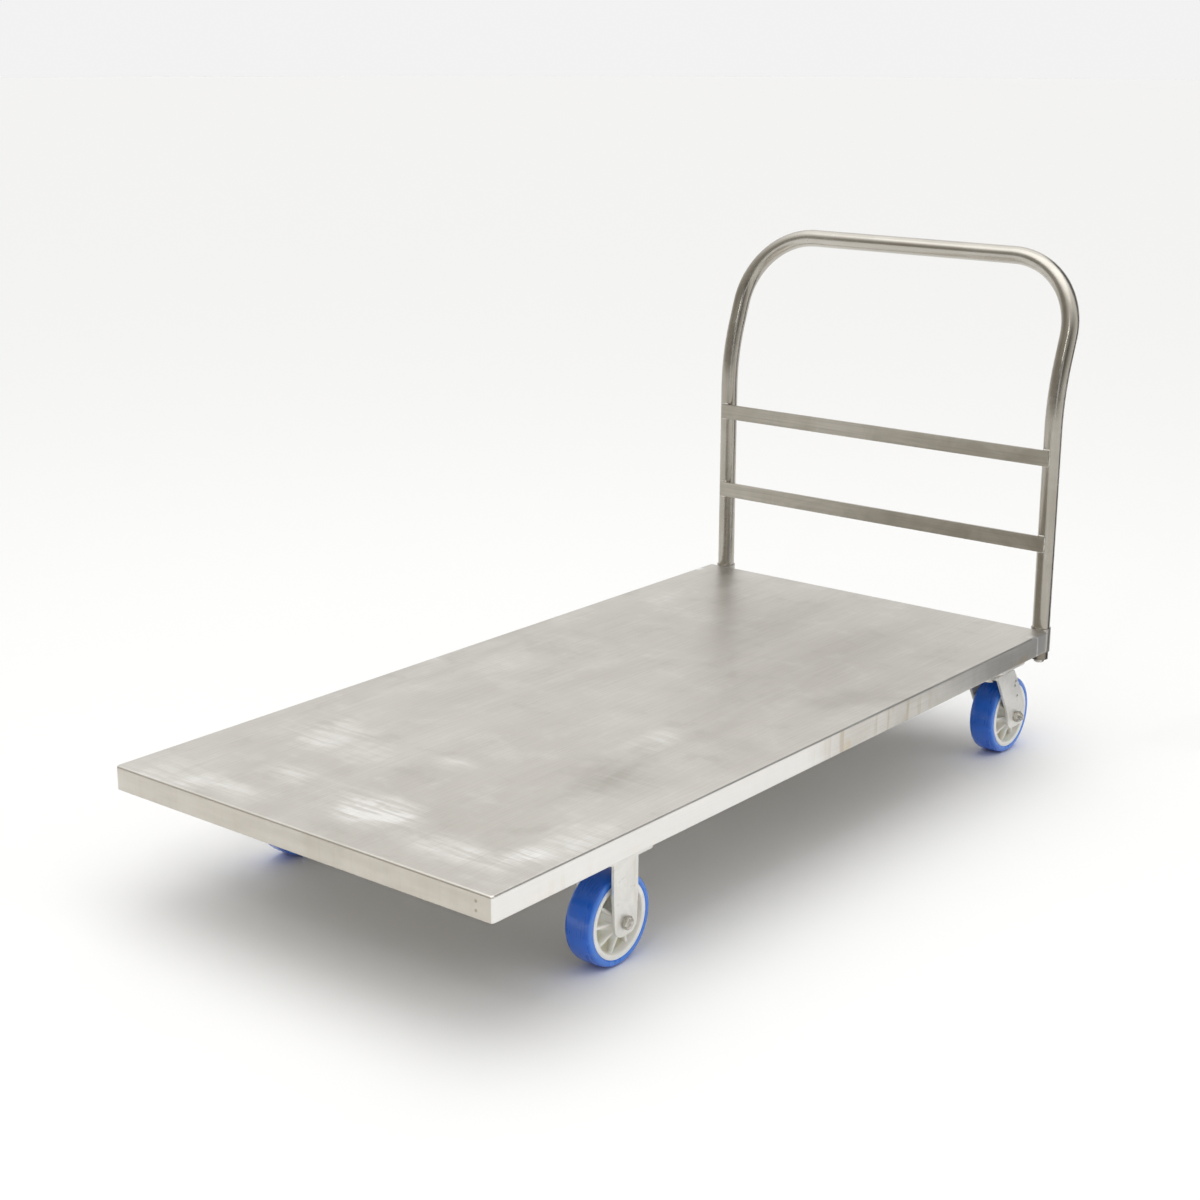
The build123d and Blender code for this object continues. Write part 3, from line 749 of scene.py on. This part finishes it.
def stand(rings, steps, way, offset, hollow=False):
    """Points and faces of rings stood along Y, way +1 or -1, from an axial offset.

    A hollow piece joins its last ring to its first, and any other is capped.
    """
    verts = []
    for ring in rings:
        for step, (height, radius) in enumerate(ring):
            turn = TURN * step / steps
            x, z = radius * MM * math.cos(turn), radius * MM * math.sin(turn)
            verts.append((x, (offset + way * height) * MM, z))
    faces = wrap(len(rings), steps, close_rows=hollow)
    if not hollow:
        cap(faces, 0, steps)
        cap(faces, (len(rings) - 1) * steps, steps)
    return verts, faces


def join(parts):
    """One list of points and faces from several."""
    verts, faces = [], []
    for more_verts, more_faces in parts:
        faces += [tuple(i + len(verts) for i in f) for f in more_faces]
        verts += more_verts
    return verts, faces


tread_data = None
hub_data = None
for prefix in ("front", "rear"):
    for label, side in SIDES:
        low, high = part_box(f"{prefix}_tread_{label}")
        centre = (low + high) / 2
        spin_body = f"{prefix}_wheel_{label}"
        if tread_data is None:
            verts, faces = lathe(tread_profile(), 144)
            tread = build(f"cast_tread_{prefix}_{label}", verts, faces, TREAD, spin_body, centre)
            tread_data = tread.data
            verts, faces, pockets = hub_mesh()
            hub = build(
                f"ribbed_hub_{prefix}_{label}", verts, faces, NYLON, spin_body, centre,
                sharp=35, weights={"pocket": pockets},
            )
            hub_data = hub.data
        else:
            tread = build(
                f"cast_tread_{prefix}_{label}", None, None, None, spin_body, centre,
                data=tread_data,
            )
            hub = build(
                f"ribbed_hub_{prefix}_{label}", None, None, None, spin_body, centre,
                data=hub_data,
            )
        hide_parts(f"{prefix}_tread_{label}")
        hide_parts(f"{prefix}_hub_{label}")
        # the axle bolt: head outboard in front, inboard behind
        head_way = side if prefix == "front" else -side
        holder = "frame" if prefix == "front" else f"swivel_{label}"
        rings, steps = hex_rings(ACROSS_FLATS, HEAD_HEIGHT, face=9.1)
        head_part = stand(rings, steps, head_way, head_way * LEG_FACE)
        shank = [[(-LEG_FACE, SHANK_RADIUS)] * steps, [(LEG_FACE, SHANK_RADIUS)] * steps]
        shank_part = stand(shank, steps, -head_way, 0.0)
        rings, steps = thread_rings(SHANK_RADIUS, 0.0, STUD, PITCH)
        tail_part = stand(rings, steps, -head_way, -head_way * LEG_FACE)
        verts, faces = join([head_part, shank_part, tail_part])
        bolt = build(
            f"hex_axle_bolt_{prefix}_{label}", verts, faces, FASTENER, holder, centre, 30
        )
        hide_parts(f"{prefix}_axle_bolt_{label}")
        rings, steps = lock_nut_rings(ACROSS_FLATS, NUT_HEIGHT, NUT_HOLE_RADIUS)
        verts, faces = stand(rings, steps, -head_way, -head_way * LEG_FACE, hollow=True)
        nut = build(
            f"hex_lock_nut_{prefix}_{label}", verts, faces, FASTENER, holder, centre, 30
        )
        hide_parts(f"{prefix}_axle_nut_{label}")


# ---------------------------------------------------------------- welds
def bead(points, radius, squash=0.75, pitch=2.6 * MM, seed=0.0):
    """A rippled weld bead along points: overlapping drops, blunt rounded ends."""
    path = [Vector(p) for p in points]
    lengths = [0.0]
    for a, b in zip(path, path[1:]):
        lengths.append(lengths[-1] + (b - a).length)
    total = lengths[-1]
    rows = max(8, int(total / (pitch / 4)))
    around = 12
    verts = []
    for row in range(rows + 1):
        at = total * row / rows
        leg = max(i for i, s in enumerate(lengths) if s <= at + 1e-9)
        leg = min(leg, len(path) - 2)
        along = (path[leg + 1] - path[leg]).normalized()
        here = path[leg] + along * (at - lengths[leg])
        side = along.orthogonal().normalized()
        up = along.cross(side)
        ripple = 0.86 + 0.14 * abs(math.sin(math.pi * at / pitch))
        wander = 1 + 0.16 * noise.noise(Vector((at * 180 + seed, seed * 3.1, 0.4)))
        tip = min(at, total - at) / (1.3 * radius)
        end = math.sqrt(max(0.0, 1 - (1 - min(1.0, tip)) ** 2)) * 0.97 + 0.03
        size = radius * ripple * wander * end
        for step in range(around):
            turn = TURN * step / around
            across, rise = size * math.cos(turn), size * squash * math.sin(turn)
            verts.append(tuple(here + side * across + up * rise))
    faces = wrap(rows + 1, around)
    cap(faces, 0, around)
    cap(faces, rows * around, around)
    return verts, faces


def crossbar_welds():
    parts = []
    seed = 0.0
    for name in ("upper_crossbar", "lower_crossbar"):
        low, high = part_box(name)
        for _, side in SIDES:
            seed += 1.7
            end = high.y if side > 0 else low.y
            back = low.x
            for z, way in ((high.z, 1), (low.z, -1)):
                at = z + way * 0.4 * MM
                run = [
                    (back + 1.4 * MM, end - side * 14 * MM, at),
                    (back + 0.9 * MM, end - side * 6 * MM, at),
                    (back + 0.6 * MM, end + side * 0.4 * MM, at),
                ]
                parts.append(bead(run, 2.3 * MM, 0.85, seed=seed + z))
            x, y = back + 1.1 * MM, end + side * 0.2 * MM
            line = [(x, y, low.z + 1 * MM), (x, y, high.z - 1 * MM)]
            parts.append(bead(line, 1.9 * MM, 0.8, seed=seed))
    verts, faces = join(parts)
    return build("crossbar_weld_beads", verts, faces, WELD, "frame", sharp=60)


def socket_welds():
    parts = []
    for label, side in SIDES:
        low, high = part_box(f"handle_socket_{label}")
        middle = (low.y + high.y) / 2
        for way in (1, -1):
            y = middle + way * 7.2 * MM
            x = high.x - 0.9 * MM
            foot = max(low.z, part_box("deck_pan")[0].z) + 2 * MM
            parts.append(bead([(x, y, foot), (x, y, high.z - 3.5 * MM)], 2.3 * MM, 0.95, seed=side * 5 + way))
    verts, faces = join(parts)
    return build("socket_weld_beads", verts, faces, WELD, "frame", sharp=60)


def underframe_welds():
    """Short stitches that hold the channels to the deck sheet and skirts, seen from below."""
    parts = []
    for name in ("front_channel", "rigid_caster_channel", "middle_channel", "swivel_caster_channel"):
        low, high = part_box(name)
        width = 60 * MM if name in ("front_channel", "middle_channel") else 120 * MM
        middle = (low.x + high.x) / 2
        for way in (1, -1):
            x = middle + way * (width / 2 + 0.7 * MM)
            for step in range(5):
                y = -0.32 + 0.16 * step
                run = [(x, y - 16 * MM, high.z - 0.8 * MM), (x, y + 16 * MM, high.z - 0.8 * MM)]
                parts.append(bead(run, 2.2 * MM, 0.95, seed=x * 9 + step))
            for _, side in SIDES:
                y = side * (0.3975 - 0.8 * MM)
                run = [(x, y, 199 * MM), (x, y, high.z - 8 * MM)]
                parts.append(bead(run, 2.2 * MM, 0.95, seed=x * 5 + side))
    verts, faces = join(parts)
    return build("underframe_weld_beads", verts, faces, WELD, "frame", sharp=60)


crossbar_welds()
socket_welds()
underframe_welds()

# ---------------------------------------------------------------- studio
floor_data = bpy.data.meshes.new("studio_floor")
floor_half = 60.0
floor_corners = [(x * floor_half, y * floor_half, 0) for x, y in ((-1, -1), (1, -1), (1, 1), (-1, 1))]
floor_data.from_pydata(floor_corners, [], [(0, 1, 2, 3)])
floor = bpy.data.objects.new("studio_floor", floor_data)
bpy.context.scene.collection.objects.link(floor)
floor_paint = Paint("pale_floor", 0.0, 0.9)
floor_data.materials.append(floor_paint.done((0.93, 0.93, 0.925)))
floor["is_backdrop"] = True


def softbox(name, place, target, size, power, colour=(1.0, 1.0, 1.0)):
    lamp = bpy.data.lights.new(name, "AREA")
    lamp.shape = "RECTANGLE"
    lamp.size, lamp.size_y = size
    lamp.energy = power
    lamp.color = colour
    holder = bpy.data.objects.new(name, lamp)
    holder.location = place
    aim = Vector(target) - Vector(place)
    holder.rotation_euler = aim.to_track_quat("-Z", "Y").to_euler()
    holder.visible_camera = False
    bpy.context.scene.collection.objects.link(holder)
    holder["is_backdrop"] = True
    return holder


softbox("overhead_softbox", (0.2, 0.1, 3.4), (0, 0, 0), (3.6, 2.6), 18)
softbox("front_softbox", (3.3, 3.2, 1.7), (0, 0, 0.4), (0.9, 2.6), 6.5)
softbox("spark", (2.9, 1.3, 3.0), (0.5, 0.3, 0.1), (0.22, 0.34), 5)

world = bpy.data.worlds.new("studio")
bpy.context.scene.world = world
world.use_nodes = True
tree = world.node_tree
background = tree.nodes["Background"]
direction = tree.nodes.new("ShaderNodeTexCoord").outputs["Generated"]
split = tree.nodes.new("ShaderNodeSeparateXYZ")
tree.links.new(direction, split.inputs[0])
azimuth = tree.nodes.new("ShaderNodeMath")
azimuth.operation = "ARCTAN2"
tree.links.new(split.outputs["Y"], azimuth.inputs[0])
tree.links.new(split.outputs["X"], azimuth.inputs[1])
share = tree.nodes.new("ShaderNodeMapRange")
share.inputs[1].default_value = -math.pi
share.inputs[2].default_value = math.pi
tree.links.new(azimuth.outputs[0], share.inputs[0])
walls = tree.nodes.new("ShaderNodeValToRGB")
stops = (
    (-180, (1.0, 1.0, 1.0)),
    (-110, (0.92, 0.91, 0.89)),
    (-60, (0.45, 0.425, 0.38)),
    (0, (0.34, 0.32, 0.285)),
    (30, (0.16, 0.155, 0.145)),
    (60, (0.18, 0.175, 0.165)),
    (100, (0.9, 0.895, 0.88)),
    (130, (1.25, 1.24, 1.22)),
    (165, (1.1, 1.1, 1.1)),
    (180, (1.0, 1.0, 1.0)),
)
ramp = walls.color_ramp
while len(ramp.elements) > 1:
    ramp.elements.remove(ramp.elements[-1])
for number, (degrees, colour) in enumerate(stops):
    element = ramp.elements[0] if number == 0 else ramp.elements.new((degrees + 180) / 360)
    element.position = (degrees + 180) / 360
    element.color = (*colour, 1.0)
tree.links.new(share.outputs[0], walls.inputs[0])
ceiling = tree.nodes.new("ShaderNodeMapRange")
ceiling.interpolation_type = "SMOOTHSTEP"
ceiling.inputs[1].default_value = 0.35
ceiling.inputs[2].default_value = 0.95
tree.links.new(split.outputs["Z"], ceiling.inputs[0])
blend = tree.nodes.new("ShaderNodeMix")
blend.data_type = "RGBA"
tree.links.new(ceiling.outputs[0], blend.inputs[0])
tree.links.new(walls.outputs[0], blend.inputs[6])
blend.inputs[7].default_value = (1.72, 1.72, 1.715, 1.0)
# a dark patch of wall, high past the rear corner, that the side fold and the rear skirt reflect
toward = tree.nodes.new("ShaderNodeVectorMath")
toward.operation = "DOT_PRODUCT"
tree.links.new(direction, toward.inputs[0])
toward.inputs[1].default_value = Vector((-0.77, 0.3, 0.56)).normalized()
patch = tree.nodes.new("ShaderNodeMapRange")
patch.interpolation_type = "SMOOTHSTEP"
patch.inputs[1].default_value = 0.86
patch.inputs[2].default_value = 0.96
tree.links.new(toward.outputs["Value"], patch.inputs[0])
darken = tree.nodes.new("ShaderNodeMix")
darken.data_type = "RGBA"
tree.links.new(patch.outputs[0], darken.inputs[0])
tree.links.new(blend.outputs[2], darken.inputs[6])
darken.inputs[7].default_value = (0.12, 0.125, 0.14, 1.0)
tree.links.new(darken.outputs[2], background.inputs["Color"])
background.inputs["Strength"].default_value = 0.85

# a dark card past the rear corner, seen only in the steel: it shades the rear of the side skirt
card_data = bpy.data.meshes.new("dark_card")
card_corners = [
    (-0.88, 0.5, 0.002), (-2.5, 0.9, 0.002), (-2.5, 1.85, 0.002), (-1.0, 0.95, 0.002),
    (-2.5, 0.9, 1.3), (-2.5, 1.85, 1.3),
]
card_data.from_pydata(card_corners, [], [(0, 1, 2, 3), (1, 4, 5, 2)])
card = bpy.data.objects.new("dark_card", card_data)
bpy.context.scene.collection.objects.link(card)
card_data.materials.append(Paint("dark_card", 0.0, 1.0).done((0.035, 0.045, 0.07)))
for kind in ("camera", "diffuse", "transmission", "volume_scatter", "shadow"):
    setattr(card, f"visible_{kind}", False)
card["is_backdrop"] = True

# a white backdrop that only the camera sees
dome_data = bpy.data.meshes.new("backdrop")
dome_rings, dome_steps, dome_radius = 12, 48, 40.0
dome_verts = []
for ring in range(dome_rings + 1):
    lift = math.radians(-12 + 101 * ring / dome_rings)
    for step in range(dome_steps):
        turn = TURN * step / dome_steps
        out = dome_radius * math.cos(lift)
        dome_verts.append((out * math.cos(turn), out * math.sin(turn), dome_radius * math.sin(lift)))
dome_data.from_pydata(dome_verts, [], wrap(dome_rings + 1, dome_steps))
dome = bpy.data.objects.new("backdrop", dome_data)
bpy.context.scene.collection.objects.link(dome)
dome_paint = Paint("white_backdrop", 0.0, 1.0)
dome_paint.shader.inputs["Emission Strength"].default_value = 0.88
dome_paint.shader.inputs["Emission Color"].default_value = (1.0, 1.0, 1.0, 1.0)
dome_data.materials.append(dome_paint.done((0.0, 0.0, 0.0)))
for kind in ("diffuse", "glossy", "transmission", "volume_scatter", "shadow"):
    setattr(dome, f"visible_{kind}", False)
dome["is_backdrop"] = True

# ---------------------------------------------------------------- camera
camera_data = bpy.data.cameras.new("camera")
camera_data.sensor_width = 36.0
camera_data.lens = 62.4
camera = bpy.data.objects.new("camera", camera_data)
bpy.context.scene.collection.objects.link(camera)
camera.location = (2.7804, 2.1400, 1.3946)
heading, pitch, roll = -2.461, -0.279, 0.002
forward = Vector((math.cos(pitch) * math.cos(heading), math.cos(pitch) * math.sin(heading), math.sin(pitch)))
camera.rotation_mode = "QUATERNION"
level = forward.to_track_quat("-Z", "Y")
camera.rotation_quaternion = level @ Matrix.Rotation(roll, 4, "Z").to_quaternion()
bpy.context.scene.camera = camera
bpy.context.scene.view_settings.view_transform = "Standard"

low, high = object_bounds()
